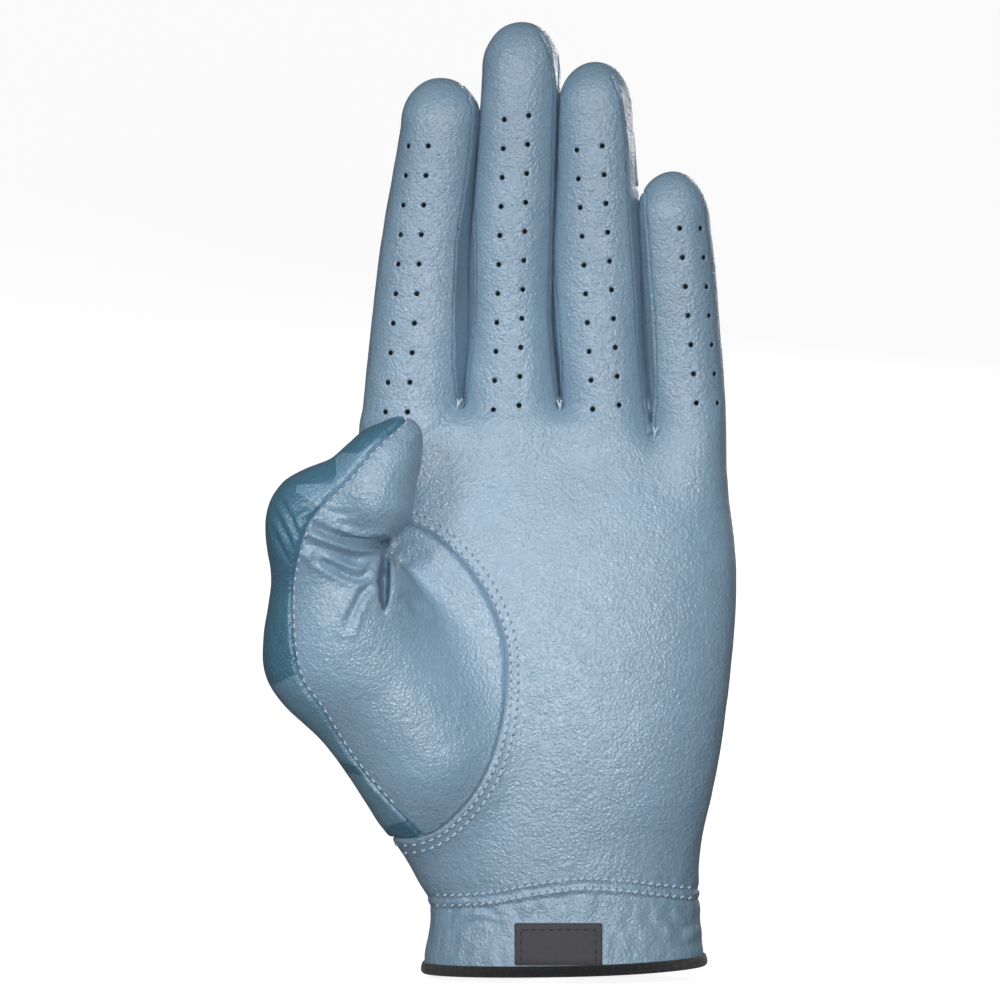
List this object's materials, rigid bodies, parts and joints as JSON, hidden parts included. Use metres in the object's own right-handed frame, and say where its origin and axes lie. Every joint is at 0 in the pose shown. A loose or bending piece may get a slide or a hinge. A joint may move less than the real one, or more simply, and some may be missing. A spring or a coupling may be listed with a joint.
{
  "type": "golf glove",
  "caption": "Left-hand leather golf glove with perforated finger fronts, an elastic wrist, a bound hem and a hook-and-loop closure tab on the back.",
  "frame": {"origin": "centre of the wrist opening, on the lower face of the hem binding", "axes": "+Z from the wrist to the fingertips, -Y out of the palm, -X towards the thumb"},
  "size_m": [0.1173, 0.0567, 0.2345],
  "materials": {
    "plain_leather": "smooth satin sheepskin with fine grain",
    "printed_leather": "smooth satin sheepskin with a tone-on-tone printed pattern",
    "binding": "folded woven tape, black",
    "label_rubber": "matte moulded rubber, blank",
    "elastic": "woven elastic tape",
    "hook_and_loop": "hook-and-loop pile"
  },
  "bodies": {
    "hand": {"palm_panel": "plain_leather", "back_panel": "printed_leather", "hem_binding": "binding", "wrist_label": "label_rubber", "wrist_elastic": "elastic", "slit_binding": "binding", "loop_pad": "hook_and_loop", "tab_root": "printed_leather", "thumb_base_palm_side": "plain_leather", "thumb_base_back": "printed_leather", "web_gusset_index_middle": "plain_leather", "web_gusset_middle_ring": "plain_leather", "web_gusset_ring_little": "plain_leather"},
    "thumb_end": {"thumb_tip_palm_side": "plain_leather", "thumb_tip_back": "printed_leather"},
    "closure": {"closure_tab": "printed_leather", "hook_pad": "hook_and_loop"},
    "index_finger": {"index_palm_side": "plain_leather", "index_back": "printed_leather", "index_fourchette_little_side": "plain_leather"},
    "middle_finger": {"middle_palm_side": "plain_leather", "middle_back": "printed_leather", "middle_fourchette_thumb_side": "plain_leather", "middle_fourchette_little_side": "plain_leather"},
    "ring_finger": {"ring_palm_side": "plain_leather", "ring_back": "printed_leather", "ring_fourchette_thumb_side": "plain_leather", "ring_fourchette_little_side": "plain_leather"},
    "little_finger": {"little_palm_side": "plain_leather", "little_back": "printed_leather", "little_fourchette_thumb_side": "plain_leather"}
  },
  "joints": [
    {"name": "index_fold", "type": "hinge", "parent": "hand", "child": "index_finger", "pos_m": [-0.0372, -0.01, 0.141], "axis": [1, 0, 0], "range_deg": [0, 75]},
    {"name": "middle_fold", "type": "hinge", "parent": "hand", "child": "middle_finger", "pos_m": [-0.0126, -0.01, 0.141], "axis": [1, 0, 0], "range_deg": [0, 75]},
    {"name": "ring_fold", "type": "hinge", "parent": "hand", "child": "ring_finger", "pos_m": [0.0097, -0.01, 0.141], "axis": [1, 0, 0], "range_deg": [0, 75]},
    {"name": "little_fold", "type": "hinge", "parent": "hand", "child": "little_finger", "pos_m": [0.031, -0.01, 0.141], "axis": [1, 0, 0], "range_deg": [0, 75]},
    {"name": "thumb_unfold", "type": "hinge", "parent": "hand", "child": "thumb_end", "pos_m": [-0.0722, -0.022, 0.116], "axis": [0, -1, 0], "range_deg": [0, 50]},
    {"name": "closure_lift", "type": "hinge", "parent": "hand", "child": "closure", "pos_m": [-0.01299, 0.0201, 0.037], "axis": [0.0102, -0.0787, 0.9968], "range_deg": [0, 150]}
  ]
}
